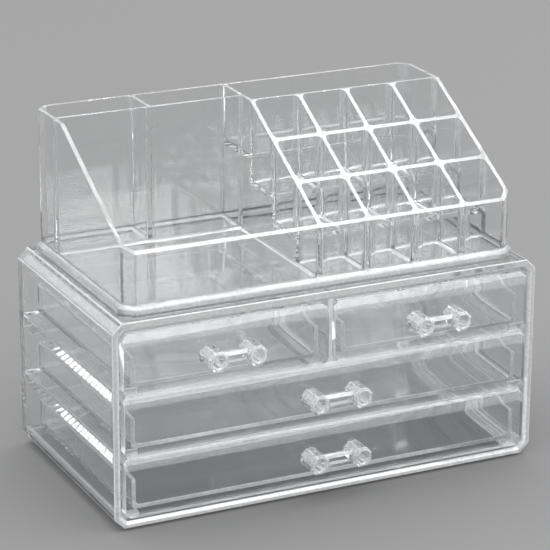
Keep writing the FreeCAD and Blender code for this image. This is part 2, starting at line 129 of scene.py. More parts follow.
class Bench:
    """Lays out the nodes of one tree and wires them."""

    def __init__(self, tree: bpy.types.NodeTree) -> None:
        """Starts from an empty tree."""
        tree.nodes.clear()
        self.tree = tree

    def node(
        self,
        kind: str,
        settings: Mapping[str, Any] | None = None,
        inputs: Mapping[str | int, Any] | None = None,
    ) -> bpy.types.Node:
        """Adds a node.

        Args:
            kind: The node's type.
            settings: Its properties, and a ramp's stops as (place, grey) pairs under "stops".
            inputs: Values, sockets or signals for its inputs, by name or number.

        Returns:
            The new node.
        """
        made = self.tree.nodes.new(kind)
        for key, value in (settings or {}).items():
            if key == "stops":
                for stop, (place, grey) in zip(made.color_ramp.elements, value):
                    stop.position, stop.color = place, (grey, grey, grey, 1.0)
            else:
                setattr(made, key, value)
        for key, value in (inputs or {}).items():
            source = value.socket if isinstance(value, Signal) else value
            if isinstance(source, bpy.types.NodeSocket):
                self.tree.links.new(source, made.inputs[key])
            else:
                made.inputs[key].default_value = source
        return made

    def signal(self, node: bpy.types.Node, output: str | int = 0) -> Signal:
        """Takes a signal from a node's output."""
        return Signal(self, node.outputs[output])

    def sum(self, operation: str, *terms: Any) -> Signal:
        """Works out a Math node's operation on its terms."""
        return self.signal(self.node("ShaderNodeMath", {"operation": operation}, dict(enumerate(terms))))

    def ramp(self, value: Signal, start: float, end: float) -> Signal:
        """Spreads the part of a signal between two levels out from 0 to 1."""
        stops = ((start, 0.0), (end, 1.0))
        return self.signal(self.node("ShaderNodeValToRGB", {"stops": stops}, {"Fac": value}))


# --------------------------------------------------------------------------------------------------
# Finishes


@dataclass(frozen=True)
class ClearPlastic:
    """Clear moulded styrene, with the ripple of its mould, drifting haze, fine scratches and a mottled
    painted glow on its edges.
    """

    name: str
    slot: str
    tint: Colour = (0.99, 0.992, 0.994, 1.0)
    deep_tint: Colour = (0.968, 0.974, 0.978, 1.0)
    # The edges' painted glow: white mottled with a dimmer grey. This is painted light standing in for light
    # piped along the clear sheet.
    painted_glow_white: Colour = (1.0, 1.0, 1.0, 1.0)
    painted_glow_grey: Colour = (0.78, 0.8, 0.82, 1.0)
    speckle_size: float = 620.0
    refraction: float = 1.5
    polish: float = 0.012
    haze: float = 0.03
    clouding: Point = (0.52, 0.82)
    mottling: Point = (0.35, 0.65)
    ripple_size: float = 24.0
    ripple_depth: float = 0.05 * MM
    ripple_strength: float = 0.35
    smudge_ratio: float = 2.7
    scratch_size: float = 1040.0
    scratch_levels: Point = (0.70, 0.76)
    scratch_depth: float = 0.02
    scratch_haze: float = 0.10
    scratch_runs: tuple[tuple[float, float, float], ...] = ((1.0, 0.06, 0.35), (0.05, 0.8, 1.0))
    shadow: Colour = (0.972, 0.975, 0.978, 1.0)

    def material(self, gleam: PaintedGleam = PaintedGleam.CLEAR) -> bpy.types.Material:
        """Builds the finish's material for one kind of face, or finds it again.

        Args:
            gleam: The kind of face, which sets how much painted glow it shows.

        Returns:
            A material whose glass lets lamps through.
        """
        name = f"{self.name} {gleam.name.lower()}"
        known = bpy.data.materials.get(name)
        if known:
            return known
        made = bpy.data.materials.new(name)
        made.use_nodes = True
        bench = Bench(made.node_tree)
        place = bench.node("ShaderNodeTexCoord").outputs["Object"]
        drift = self.noise(bench, place, self.ripple_size, 2.0)
        smudge = self.noise(bench, place, self.ripple_size * self.smudge_ratio, 5.0)
        wear = bench.sum("MAXIMUM", *(self.scratches(bench, place, run) for run in self.scratch_runs))
        clouded = bench.ramp(smudge, *self.clouding)
        relief = (drift + wear * self.scratch_depth) * self.ripple_depth
        bump = bench.node(
            "ShaderNodeBump", inputs={"Strength": self.ripple_strength, "Distance": 1.0, "Height": relief}
        )
        if gleam is PaintedGleam.CLEAR:
            shine, light, dark = drift, self.tint, self.deep_tint
        else:
            # Rims and bevels: a mottled white painted glow, standing in for light piped along the clear
            # sheet.
            shine = bench.ramp(self.noise(bench, place, self.speckle_size, 3.0), *self.mottling)
            light, dark = self.painted_glow_white, self.painted_glow_grey
        colour = bench.node("ShaderNodeMix", {"data_type": "RGBA"}, {0: shine, 6: dark, 7: light})
        glass = bench.node(
            "ShaderNodeBsdfPrincipled",
            inputs={
                "Base Color": colour.outputs[2],
                "Roughness": clouded * self.haze + wear * self.scratch_haze + self.polish,
                "IOR": self.refraction,
                # Less transmission lets the painted white glow show on rims and bevels.
                "Transmission Weight": gleam.value,
                "Normal": bump.outputs["Normal"],
            },
        )
        lamp_way = bench.node("ShaderNodeBsdfTransparent", inputs={"Color": self.shadow})
        to_lamp = bench.node("ShaderNodeLightPath").outputs["Is Shadow Ray"]
        both = bench.node(
            "ShaderNodeMixShader", inputs={0: to_lamp, 1: glass.outputs[0], 2: lamp_way.outputs[0]}
        )
        bench.node("ShaderNodeOutputMaterial", inputs={"Surface": both.outputs[0]})
        return made

    @staticmethod
    def noise(bench: Bench, place: bpy.types.NodeSocket, scale: float, detail: float) -> Signal:
        """Adds soft noise at a size given in waves a metre."""
        return bench.signal(
            bench.node("ShaderNodeTexNoise", inputs={"Vector": place, "Scale": scale, "Detail": detail}), 0
        )

    def scratches(
        self, bench: Bench, place: bpy.types.NodeSocket, stretch: tuple[float, float, float]
    ) -> Signal:
        """Draws hair-fine scratches along one direction.

        Args:
            bench: The tree to build in.
            place: The surface's own place.
            stretch: How much the noise is drawn out along each axis.

        Returns:
            0 on clean plastic and 1 in a scratch.
        """
        drawn_out = bench.node("ShaderNodeMapping", inputs={"Vector": place, "Scale": stretch})
        grain = self.noise(bench, drawn_out.outputs[0], self.scratch_size, 1.0)
        return bench.ramp(grain, *self.scratch_levels)


CABINET_FINISH = ClearPlastic("cabinet styrene", "cabinet_clear")
TRAY_FINISH = ClearPlastic("tray styrene", "tray_clear", ripple_size=30.0)
TUB_FINISH = ClearPlastic("drawer styrene", "drawer_clear", haze=0.045, ripple_size=19.0)
FRONT_FINISH = ClearPlastic("drawer front styrene", "front_clear", polish=0.008, ripple_depth=0.03 * MM)
HANDLE_FINISH = ClearPlastic("handle styrene", "handle_clear", polish=0.008, ripple_size=60.0)
FOOT_FINISH = ClearPlastic(
    "foot vinyl", "foot_clear",
    tint=(0.9, 0.92, 0.93, 1.0), deep_tint=(0.84, 0.87, 0.89, 1.0), polish=0.18, haze=0.2,
)


# --------------------------------------------------------------------------------------------------
# Mouldings


def quarter(steps: int) -> list[float]:
    """Divides a quarter turn into equal steps and gives every angle from 0 to the end."""
    return [math.radians(90 * k / steps) for k in range(steps + 1)]


def outline(
    low: Point, high: Point, reach: float | Sequence[float], steps: int | Sequence[int] = 1
) -> list[Point]:
    """Walks a rectangle anticlockwise from its lower left corner, with its corners cut off or rounded.

    Args:
        low: The lower left corner.
        high: The upper right corner.
        reach: How far back each corner is cut, once for all or in order.
        steps: The straight runs in each corner: 1 for a flat cut, more for a round one.

    Returns:
        The outline's points.
    """
    (x0, y0), (x1, y1) = low, high
    reaches = [reach] * 4 if isinstance(reach, (int, float)) else list(reach)
    runs = [steps] * 4 if isinstance(steps, int) else list(steps)
    corners = ((x0, y0, 1, 1, 180), (x1, y0, -1, 1, 270), (x1, y1, -1, -1, 0), (x0, y1, 1, -1, 90))
    points = []
    for (x, y, inward_x, inward_y, start), r, n in zip(corners, reaches, runs):
        for k in range(n + 1):
            turn = math.radians(start + 90 * k / n)
            points.append((x + r * (inward_x + math.cos(turn)), y + r * (inward_y + math.sin(turn))))
    return points


def disc(radius: float, count: int, centre: Point = (0.0, 0.0), flats: int = 0) -> list[Point]:
    """Walks a circle, or an even-sided polygon measured across its flats.

    Args:
        radius: The circle's radius, or half the width across flats.
        count: The number of points.
        centre: The middle.
        flats: The polygon's sides, or 0 for a circle.

    Returns:
        The points, the first at a polygon's corner.
    """
    points = []
    for k in range(count):
        turn = math.tau * k / count
        sector = math.tau / flats if flats else 1.0
        reach = radius / math.cos((turn % sector) - sector / 2) if flats else radius
        heading = turn + (sector / 2 if flats else math.pi / 8)
        points.append((centre[0] + reach * math.cos(heading), centre[1] + reach * math.sin(heading)))
    return points


def lift(points: Iterable[Point], level: float, along: Along) -> list[Vector]:
    """Stands a flat outline in space at a level along one axis."""
    if along is Along.X:
        return [Vector((level, u, v)) for u, v in points]
    if along is Along.Y:
        return [Vector((u, level, v)) for u, v in points]
    return [Vector((u, v, level)) for u, v in points]


class Mould:
    """A closed form, skinned over its outlines and then cut to shape."""

    def __init__(self, rings: Sequence[Sequence[Vector]]) -> None:
        """Skins neighbouring rings and closes both ends.

        Args:
            rings: The rings in order, with as many points in each.
        """
        self.form = bmesh.new()
        loops = [[self.form.verts.new(point) for point in ring] for ring in rings]
        for near, far in zip(loops, loops[1:]):
            for k in range(len(near)):
                after = (k + 1) % len(near)
                self.form.faces.new((near[k], near[after], far[after], far[k]))
        self.form.faces.new(loops[0])
        self.form.faces.new(loops[-1])

    @classmethod
    def bar(cls, points: Sequence[Point], start: float, end: float, along: Along) -> "Mould":
        """Draws a flat outline out into a straight bar."""
        return cls([lift(points, start, along), lift(points, end, along)])

    def trim(self, point: Vector, outward: Vector) -> "Mould":
        """Cuts away everything on the outer side of a plane and closes the cut."""
        everything = self.form.verts[:] + self.form.edges[:] + self.form.faces[:]
        cut = bmesh.ops.bisect_plane(
            self.form, geom=everything, dist=WELD / 10, plane_co=point, plane_no=outward, clear_outer=True
        )
        rim = [item for item in cut["geom_cut"] if isinstance(item, bmesh.types.BMEdge)]
        bmesh.ops.contextual_create(self.form, geom=rim)
        return self

    def piece(self, name: str) -> bpy.types.Object:
        """Turns the form into an object of its own, facing outwards."""
        bmesh.ops.remove_doubles(self.form, verts=self.form.verts[:], dist=WELD / 10)
        bmesh.ops.recalc_face_normals(self.form, faces=self.form.faces[:])
        mesh = bpy.data.meshes.new(name)
        self.form.to_mesh(mesh)
        self.form.free()
        made = bpy.data.objects.new(name, mesh)
        bpy.context.scene.collection.objects.link(made)
        return made


def settle(piece: bpy.types.Object) -> bpy.types.Object:
    """Turns a piece's modifiers into plain mesh."""
    bpy.context.view_layer.update()
    graph = bpy.context.evaluated_depsgraph_get()
    mesh = bpy.data.meshes.new_from_object(
        piece.evaluated_get(graph), preserve_all_data_layers=True, depsgraph=graph
    )
    spent, piece.data = piece.data, mesh
    piece.modifiers.clear()
    bpy.data.meshes.remove(spent)
    mesh.name = piece.name
    return piece


def discard(*pieces: bpy.types.Object) -> None:
    """Throws away tools that have done their work."""
    for piece in pieces:
        spent = piece.data
        bpy.data.objects.remove(piece)
        bpy.data.meshes.remove(spent)


def combine(piece: bpy.types.Object, how: Join, *tools: bpy.types.Object) -> bpy.types.Object:
    """Works solid tools into a piece, one after another, and throws them away."""
    for tool in tools:
        step = piece.modifiers.new(how.name, "BOOLEAN")
        step.operation, step.object, step.solver = how.value, tool, "EXACT"
        settle(piece)
        discard(tool)
    return tidy(piece)


def tidy(piece: bpy.types.Object) -> bpy.types.Object:
    """Welds stray points and opens out the flat faces that cutting has split."""
    form = bmesh.new()
    form.from_mesh(piece.data)
    bmesh.ops.remove_doubles(form, verts=form.verts[:], dist=WELD)
    bmesh.ops.dissolve_degenerate(form, dist=WELD, edges=form.edges[:])
    bmesh.ops.dissolve_limit(
        form, angle_limit=FLAT_ANGLE, verts=form.verts[:], edges=form.edges[:], use_dissolve_boundaries=False
    )
    form.to_mesh(piece.data)
    form.free()
    return piece


def turned(face: bpy.types.MeshPolygon) -> bool:
    """Tells whether a face looks along none of the three axes."""
    return max(abs(part) for part in face.normal) < SQUARE


def soften(
    piece: bpy.types.Object,
    width: float,
    finish: ClearPlastic,
    gleams: Callable[[bpy.types.MeshPolygon], PaintedGleam | None] = lambda face: None,
    steps: int = 2,
) -> bpy.types.Object:
    """Rounds every sharp edge as a polished mould does, and keeps the flats flat.

    Args:
        piece: The moulding.
        width: How wide the rounding is.
        finish: The plastic that it is moulded in.
        gleams: Names the painted glow of a face, or None to judge it by the way that it faces.
        steps: The runs in the rounding.

    Returns:
        The same moulding.
    """
    piece.data.materials.clear()
    for gleam in PaintedGleam:
        piece.data.materials.append(finish.material(gleam))
    # Turned faces get the chamfers' painted glow; flats stay clear.
    for face in piece.data.polygons:
        kind = gleams(face) or (PaintedGleam.CHAMFER if turned(face) else PaintedGleam.CLEAR)
        face.material_index = kind.slot
    rounding = piece.modifiers.new("soft edges", "BEVEL")
    # The new rounding faces get the edges' painted glow, the brightest.
    rounding.width, rounding.segments, rounding.material = width, steps, PaintedGleam.EDGE.slot
    rounding.limit_method, rounding.angle_limit = "ANGLE", SOFT_ANGLE
    rounding.miter_outer = "MITER_ARC"
    settle(piece)
    for face in piece.data.polygons:
        face.use_smooth = True
    piece.data.set_sharp_from_angle(angle=SHARP_ANGLE)
    flats = piece.modifiers.new("flat faces", "WEIGHTED_NORMAL")
    flats.mode, flats.weight, flats.keep_sharp = "FACE_AREA", 100, True
    return settle(piece)


def front_rim(face: bpy.types.MeshPolygon) -> PaintedGleam | None:
    """Gives the faces that look straight forward the rims' painted glow."""
    return PaintedGleam.RIM if face.normal.y < -SQUARE else None


def dress(piece: bpy.types.Object, finish: ClearPlastic, body: str, *nodes: str) -> bpy.types.Object:
    """Hangs a finished piece on its body and hides the parts that it stands for."""
    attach(piece, body)
    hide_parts(*nodes)
    log.info("%s: %d faces on %s", piece.name, len(piece.data.polygons), body)
    return piece


# --------------------------------------------------------------------------------------------------
# Cabinet


@dataclass
class Cabinet:
    """The chamfered sleeve that holds the drawers, with its shelves, divider, runners and feet."""

    body: str = "cabinet"
    corner: float = 5.3 * MM
    inner_corner: float = 3.0 * MM
    mouth_bevel: float = 1.2 * MM
    edge: float = 0.5 * MM
    web: float = 2.4 * MM
    web_nick: float = 0.1 * MM
    foot_radius: float = 1.8 * MM
    foot_flat: float = 0.6
    foot_edge: float = 0.12 * MM
    foot_steps: int = 5
    foot_points: int = 24

    def build(self) -> None:
        """Builds every piece of the cabinet."""
        self.sleeve()
        self.shelf("lower_shelf", "middle_left_runner", "middle_right_runner")
        self.shelf("upper_shelf", "top_left_runner", "top_right_runner")
        for side in ("bottom_left_runner", "bottom_right_runner"):
            self.runner(side)
        self.divider()
        self.feet()

    def sleeve(self) -> bpy.types.Object:
        """Moulds the sleeve and its back as one wall that turns in at the mouth."""
        low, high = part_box("cabinet_sleeve")
        in_low, in_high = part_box("back_panel")

        def inside(grow: float) -> list[Point]:
            """Walks the inner wall, moved outwards by an amount."""
            return outline(
                (in_low.x - grow, in_low.z - grow),
                (in_high.x + grow, in_high.z + grow),
                self.inner_corner + grow * DIAGONAL_SPREAD,
            )

        outer = outline((low.x, low.z), (high.x, high.z), self.corner)
        rings = [
            lift(outer, high.y, Along.Y),
            lift(outer, low.y, Along.Y),
            lift(inside(self.mouth_bevel), low.y, Along.Y),
            lift(inside(0.0), low.y + self.mouth_bevel, Along.Y),
            lift(inside(0.0), in_low.y, Along.Y),
        ]
        made = Mould(rings).piece("cabinet_moulding")
        mouth = low.y + self.mouth_bevel

        def gleams(face: bpy.types.MeshPolygon) -> PaintedGleam | None:
            """Paints a bright glow on the mouth's bevel, and less of one on the rim round it."""
            if face.center.y < mouth and abs(face.normal.y) < SQUARE:
                return PaintedGleam.EDGE
            return PaintedGleam.RIM if face.center.y < mouth else None

        soften(made, self.edge, CABINET_FINISH, gleams, 3)
        return dress(made, CABINET_FINISH, self.body, "cabinet_sleeve", "back_panel")

    def shelf(self, name: str, *runners: str) -> bpy.types.Object:
        """Moulds a shelf with the runners that stand on it.

        Args:
            name: The shelf's node.
            runners: The nodes of its two runners.

        Returns:
            The shelf.
        """
        low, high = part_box(name)
        left, right = (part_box(runner) for runner in runners)
        x0, x1 = low.x + AIR_GAP, high.x - AIR_GAP
        top = left[1].z
        section = [
            (x0, low.z), (x1, low.z), (x1, top), (right[0].x, top),
            (right[0].x, high.z), (left[1].x, high.z), (left[1].x, top), (x0, top),
        ]
        made = Mould.bar(section, low.y, high.y - AIR_GAP, Along.Y).piece(f"{name}_moulding")
        soften(made, self.edge, CABINET_FINISH, front_rim)
        return dress(made, CABINET_FINISH, self.body, name, *runners)

    def runner(self, name: str) -> bpy.types.Object:
        """Moulds a runner that stands on the cabinet's floor, its top bevelled on the inner side."""
        low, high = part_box(name)
        reach = [self.edge] * 4
        reach[2 if low.x < 0 else 3] = self.mouth_bevel
        section = outline((low.x + AIR_GAP, low.z + AIR_GAP), (high.x - AIR_GAP, high.z), reach)
        made = Mould.bar(section, low.y, high.y - AIR_GAP, Along.Y).piece(f"{name}_moulding")
        soften(made, self.edge / 2, CABINET_FINISH, front_rim)
        return dress(made, CABINET_FINISH, self.body, name)

    def divider(self) -> bpy.types.Object:
        """Moulds the upright between the two small drawers, with its foot and its nose."""
        low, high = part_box("centre_divider")
        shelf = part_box("upper_shelf")
        floor, roof, back = shelf[1].z + AIR_GAP, high.z - AIR_GAP, high.y - AIR_GAP
        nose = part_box("left_small_front")[0].z
        foot_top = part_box("top_left_runner")[1].z
        side = [
            (shelf[0].y, floor), (back, floor), (back, roof),
            (low.y, roof), (low.y, nose), (shelf[0].y, nose),
        ]
        made = Mould.bar(side, -self.web / 2, self.web / 2, Along.X).piece("centre_divider_moulding")
        reach = (self.web_nick, self.web_nick, self.mouth_bevel, self.mouth_bevel)
        section = outline((low.x, floor), (high.x, foot_top), reach)
        foot = Mould.bar(section, shelf[0].y + self.edge, back - self.edge, Along.Y).piece("foot tool")
        combine(made, Join.WELD, foot)

        def gleams(face: bpy.types.MeshPolygon) -> PaintedGleam | None:
            """Paints a bright glow on the upright's front edge."""
            return PaintedGleam.EDGE if face.normal.y < -SQUARE else None

        soften(made, self.edge / 2, CABINET_FINISH, gleams)
        return dress(made, CABINET_FINISH, self.body, "centre_divider")

    def feet(self) -> bpy.types.Object:
        """Sets the four button feet with a tree of geometry nodes."""
        low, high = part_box("feet")
        radius, drop = self.foot_radius, high.z - low.z
        flat = radius * self.foot_flat
        profile = [
            (flat + (radius - flat) * math.cos(turn), drop / 2 * (1 - math.sin(turn)))
            for turn in reversed(quarter(self.foot_steps))
        ]
        profile.append((radius, drop - AIR_GAP))
        button = Mould([lift(disc(r, self.foot_points), z, Along.Z) for r, z in profile]).piece("foot button")
        square = outline((-radius, -radius), (radius, radius), radius / 4)
        carrier = Mould.bar(square, 0, drop, Along.Z).piece("feet_set")
        pattern = StepPattern(
            columns=2, rows=2, row_rise=0.0,
            column_pitch=high.x - low.x - 2 * radius, row_pitch=high.y - low.y - 2 * radius,
            first=(low.x + radius, low.y + radius, low.z),
        )
        pattern.apply(carrier, button, FOOT_FINISH.material(), cut=False)
        soften(tidy(carrier), self.foot_edge, FOOT_FINISH)
        return dress(carrier, FOOT_FINISH, self.body, "feet")


@dataclass
class StepPattern:
    """A rule that sets copies of a tool in columns and rows, each row higher than the last."""

    columns: int
    rows: int
    column_pitch: float
    row_pitch: float
    row_rise: float
    first: tuple[float, float, float]

    def tree(self, cut: bool) -> tuple[bpy.types.NodeTree, dict[str, str]]:
        """Builds the pattern's tree.

        Args:
            cut: True to cut the copies out of the base, False to give the copies alone.

        Returns:
            The tree, and the identifier of each named input.
        """
        tree = bpy.data.node_groups.new("stepped pattern", "GeometryNodeTree")
        sockets = {
            "Base": "NodeSocketGeometry", "Tool": "NodeSocketObject", "Columns": "NodeSocketInt",
            "Rows": "NodeSocketInt", "Column Pitch": "NodeSocketFloat", "Row Pitch": "NodeSocketFloat",
            "Row Rise": "NodeSocketFloat", "First": "NodeSocketVector", "Finish": "NodeSocketMaterial",
        }
        names = {
            name: tree.interface.new_socket(name, in_out="INPUT", socket_type=kind).identifier
            for name, kind in sockets.items()
        }
        tree.interface.new_socket("Result", in_out="OUTPUT", socket_type="NodeSocketGeometry")
        bench = Bench(tree)
        given = bench.node("NodeGroupInput").outputs
        columns, rows = Signal(bench, given["Columns"]), Signal(bench, given["Rows"])
        spots = bench.node("GeometryNodeMeshLine", inputs={"Count": columns * rows})
        order = bench.signal(bench.node("GeometryNodeInputIndex"))
        row = bench.sum("FLOOR", (order + 0.5) / columns)
        column = order - row * columns
        offset = bench.node(
            "ShaderNodeCombineXYZ",
            inputs={
                0: column * Signal(bench, given["Column Pitch"]),
                1: row * Signal(bench, given["Row Pitch"]),
                2: row * Signal(bench, given["Row Rise"]),
            },
        )
        spot = bench.node(
            "ShaderNodeVectorMath", {"operation": "ADD"}, {0: offset.outputs[0], 1: given["First"]}
        )
        placed = bench.node(
            "GeometryNodeSetPosition", inputs={"Geometry": spots.outputs[0], "Position": spot.outputs[0]}
        )
        tool = bench.node("GeometryNodeObjectInfo", inputs={"Object": given["Tool"]})
        copies = bench.node(
            "GeometryNodeInstanceOnPoints",
            inputs={"Points": placed.outputs[0], "Instance": tool.outputs["Geometry"]},
        ).outputs[0]
        if cut:
            solid = bench.node("GeometryNodeRealizeInstances", inputs={0: copies}).outputs[0]
            copies = bench.node(
                "GeometryNodeMeshBoolean", {"operation": "DIFFERENCE", "solver": "EXACT"},
                {"Mesh 1": given["Base"], "Mesh 2": solid},
            ).outputs[0]
        plain = bench.node("GeometryNodeRealizeInstances", inputs={0: copies})
        dressed = bench.node(
            "GeometryNodeSetMaterial", inputs={"Geometry": plain.outputs[0], "Material": given["Finish"]}
        )
        bench.node("NodeGroupOutput", inputs={0: dressed.outputs[0]})
        return tree, names

    def apply(
        self, base: bpy.types.Object, tool: bpy.types.Object, finish: bpy.types.Material, cut: bool
    ) -> None:
        """Runs the pattern on a base and throws the tool away.

        Args:
            base: The piece that takes the result.
            tool: The solid that is repeated.
            finish: The material of the result.
            cut: True to cut the copies out of the base, False to put them in its place.
        """
        tree, names = self.tree(cut)
        step = base.modifiers.new("stepped pattern", "NODES")
        step.node_group = tree
        values = {
            "Tool": tool, "Columns": self.columns, "Rows": self.rows,
            "Column Pitch": self.column_pitch, "Row Pitch": self.row_pitch, "Row Rise": self.row_rise,
            "First": self.first, "Finish": finish,
        }
        for name, value in values.items():
            step[names[name]] = value
        settle(base)
        discard(tool)
        bpy.data.node_groups.remove(tree)


# --------------------------------------------------------------------------------------------------
# Drawers


@dataclass
class Drawer:
    """One pull-out drawer: an open tub, a thick chamfered front and a bored handle."""

    name: str
    corner: float = 2.6 * MM
    bevel_drop: float = 6.3 * MM
    bevel_depth: float = 2.8 * MM
    wall: float = 2.2 * MM
    floor: float = 2.2 * MM
    rear_corner: float = 4.0 * MM
    lead_corner: float = 0.01 * MM
    corner_steps: int = 8
    corner_ease: float = 0.4 * MM
    corner_narrowing: float = 0.8
    corner_widening: float = 0.2
    floor_fillet: float = 2.2 * MM
    fillet_steps: int = 5
    rim_roll: float = 0.66 * MM
    roll_across: float = 0.35
    roll_down: float = 0.3
    tub_edge: float = 0.2 * MM
    edge: float = 0.4 * MM
    handle_edge: float = 0.18 * MM
    post_width: float = 10.4 * MM
    post_bevel: float = 1.0 * MM
    post_flats: int = 8
    post_points: int = 32
    bore_radius: float = 3.1 * MM
    bore_depth: float = 9.0 * MM
    bore_mouth: float = 0.5 * MM
    bore_draft: float = 0.15 * MM
    bore_end_step: float = 0.6 * MM
    bore_end_inset: float = 0.7 * MM
    peg_radius: float = 1.95 * MM
    peg_clear: float = 0.1 * MM
    peg_chamfer: float = 0.3 * MM
    peg_hole_radius: float = 2.1 * MM
    peg_hole_points: int = 24
    bar_height: float = 6.6 * MM
    bar_depth: float = 5.0 * MM
    bar_gap: float = 5.0 * MM
    bar_bevel: float = 1.5 * MM
    bar_start: float = 1.2 * MM

    @property
    def body(self) -> str:
        """The body that the drawer rides on."""
        return f"{self.name}_drawer"

    def build(self) -> None:
        """Builds the drawer's three pieces."""
        self.tub()
        self.front()
        self.handle()

    def tub(self) -> bpy.types.Object:
        """Moulds the tub in one sweep, from its underside over its rim to its floor, and opens its front."""
        low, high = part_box(f"{self.name}_tub")
        lead = low.y - OVERSHOOT
        fillet, wall, roll = self.floor_fillet, self.wall, self.rim_roll
        outer, inner = self.rear_corner, self.rear_corner - self.wall + self.corner_ease
        rim, shoulder = high.z - roll, high.z - roll * self.roll_down

        def ring(inset: float, z: float, corner: float) -> list[Vector]:
            """Walks the tub's wall, moved inwards by an amount, at a height."""
            points = outline(
                (low.x + inset, lead), (high.x - inset, high.y - inset),
                (self.lead_corner, self.lead_corner, corner, corner),
                (1, 1, self.corner_steps, self.corner_steps),
            )
            return lift(points, z, Along.Z)

        rings = []
        for turn in quarter(self.fillet_steps):
            inset = fillet * (1 - math.sin(turn))
            level = low.z + fillet * (1 - math.cos(turn))
            rings.append(ring(inset, level, outer - inset * self.corner_narrowing))
        rings += [
            ring(0.0, rim, outer),
            ring(roll * self.roll_across, shoulder, outer - roll * self.roll_down),
            ring(roll, high.z, outer - roll),
            ring(wall - roll, high.z, outer - wall + roll),
            ring(wall - roll * self.roll_across, shoulder, outer - wall + roll * self.roll_down),
            ring(wall, rim, inner),
        ]
        for turn in quarter(self.fillet_steps):
            inset = wall + fillet * (1 - math.cos(turn))
            level = low.z + self.floor + fillet * (1 - math.sin(turn))
            rings.append(ring(inset, level, inner + inset * self.corner_widening))
        cut = Mould(rings).trim(Vector((0, low.y + AIR_GAP, 0)), Vector((0, -1, 0)))
        made = cut.piece(f"{self.name}_tub_moulding")

        def gleams(face: bpy.types.MeshPolygon) -> PaintedGleam | None:
            """Paints a bright glow on the rolled rim, and less of one on the faces at the front."""
            return PaintedGleam.EDGE if face.center.z > rim else front_rim(face)

        soften(made, self.tub_edge, TUB_FINISH, gleams)
        return dress(made, TUB_FINISH, self.body, f"{self.name}_tub")

    def posts(self) -> list[Point]:
        """Gives the middle of each handle post, seen from the front."""
        low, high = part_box(f"{self.name}_handle")
        middle = (low.z + high.z) / 2
        half = self.post_width / 2
        return [(low.x + half, middle), (high.x - half, middle)]

    def front(self) -> bpy.types.Object:
        """Moulds the thick front with its sloping top and the holes for the handle's pegs."""
        low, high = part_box(f"{self.name}_front")
        blank = Mould.bar(outline((low.x, low.z), (high.x, high.z), self.corner), low.y, high.y, Along.Y)
        slope = Vector((0, -self.bevel_drop, self.bevel_depth))
        blank.trim(Vector((0, low.y, high.z - self.bevel_drop)), slope)
        plate = blank.piece(f"{self.name}_front_moulding")
        circles = (disc(self.peg_hole_radius, self.peg_hole_points, post) for post in self.posts())
        holes = [
            Mould.bar(circle, low.y - MM, high.y + MM, Along.Y).piece("hole tool") for circle in circles
        ]
        combine(plate, Join.CUT, *holes)

        def gleams(face: bpy.types.MeshPolygon) -> PaintedGleam | None:
            """Paints a glow on the plate's sides and underside, standing in for the light that they carry
            round it.
            """
            return PaintedGleam.RIM if abs(face.normal.x) > SQUARE or face.normal.z < -SQUARE else None

        soften(plate, self.edge, FRONT_FINISH, gleams)
        return dress(plate, FRONT_FINISH, self.body, f"{self.name}_front")

    def post(self, centre: Point) -> bpy.types.Object:
        """Turns one handle post: eight flats, a bevelled nose, a blind bore and a peg at the back."""
        low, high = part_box(f"{self.name}_handle")
        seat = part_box(f"{self.name}_front")[0].y - AIR_GAP
        half, end, mouth = self.post_width / 2, high.y - self.peg_clear, self.bore_mouth

        def ring(radius: float, y: float, flats: int = 0) -> list[Vector]:
            """Walks one turn of the post at a depth."""
            return lift(disc(radius, self.post_points, centre, flats), y, Along.Y)

        rings = [
            ring(self.peg_radius - self.peg_chamfer, end),
            ring(self.peg_radius, end - self.peg_chamfer),
            ring(self.peg_radius, seat),
            ring(half, seat, self.post_flats),
            ring(half, low.y + self.post_bevel, self.post_flats),
            ring(half - self.post_bevel, low.y, self.post_flats),
            ring(self.bore_radius + mouth, low.y),
            ring(self.bore_radius, low.y + mouth),
            ring(self.bore_radius - self.bore_draft, low.y + self.bore_depth - self.bore_end_step),
            ring(self.bore_radius - self.bore_end_inset, low.y + self.bore_depth),
        ]
        return Mould(rings).piece(f"{self.name}_handle_moulding")

    def handle(self) -> bpy.types.Object:
        """Joins two posts with a bevelled bar, clear of the front so that fingers go behind it."""
        left, right = self.posts()
        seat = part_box(f"{self.name}_front")[0].y
        made = self.post(left)
        inset = self.bore_radius + self.bar_start
        y1 = seat - self.bar_gap
        y0 = y1 - self.bar_depth
        section = outline(
            (y0, left[1] - self.bar_height / 2), (y1, left[1] + self.bar_height / 2), self.bar_bevel
        )
        bar = Mould.bar(section, left[0] + inset, right[0] - inset, Along.X).piece("bar tool")
        combine(made, Join.WELD, self.post(right), bar)
        reach = (right[0] - left[0] - self.post_width) / 2

        def gleams(face: bpy.types.MeshPolygon) -> PaintedGleam | None:
            """Paints a glow on the bar's bevels and the posts' noses."""
            if abs(face.center.x - (left[0] + right[0]) / 2) >= reach:
                return front_rim(face)
            return PaintedGleam.RIM if turned(face) else None

        soften(made, self.handle_edge, HANDLE_FINISH, gleams)
        return dress(made, HANDLE_FINISH, self.body, f"{self.name}_handle")


# --------------------------------------------------------------------------------------------------
# Tray


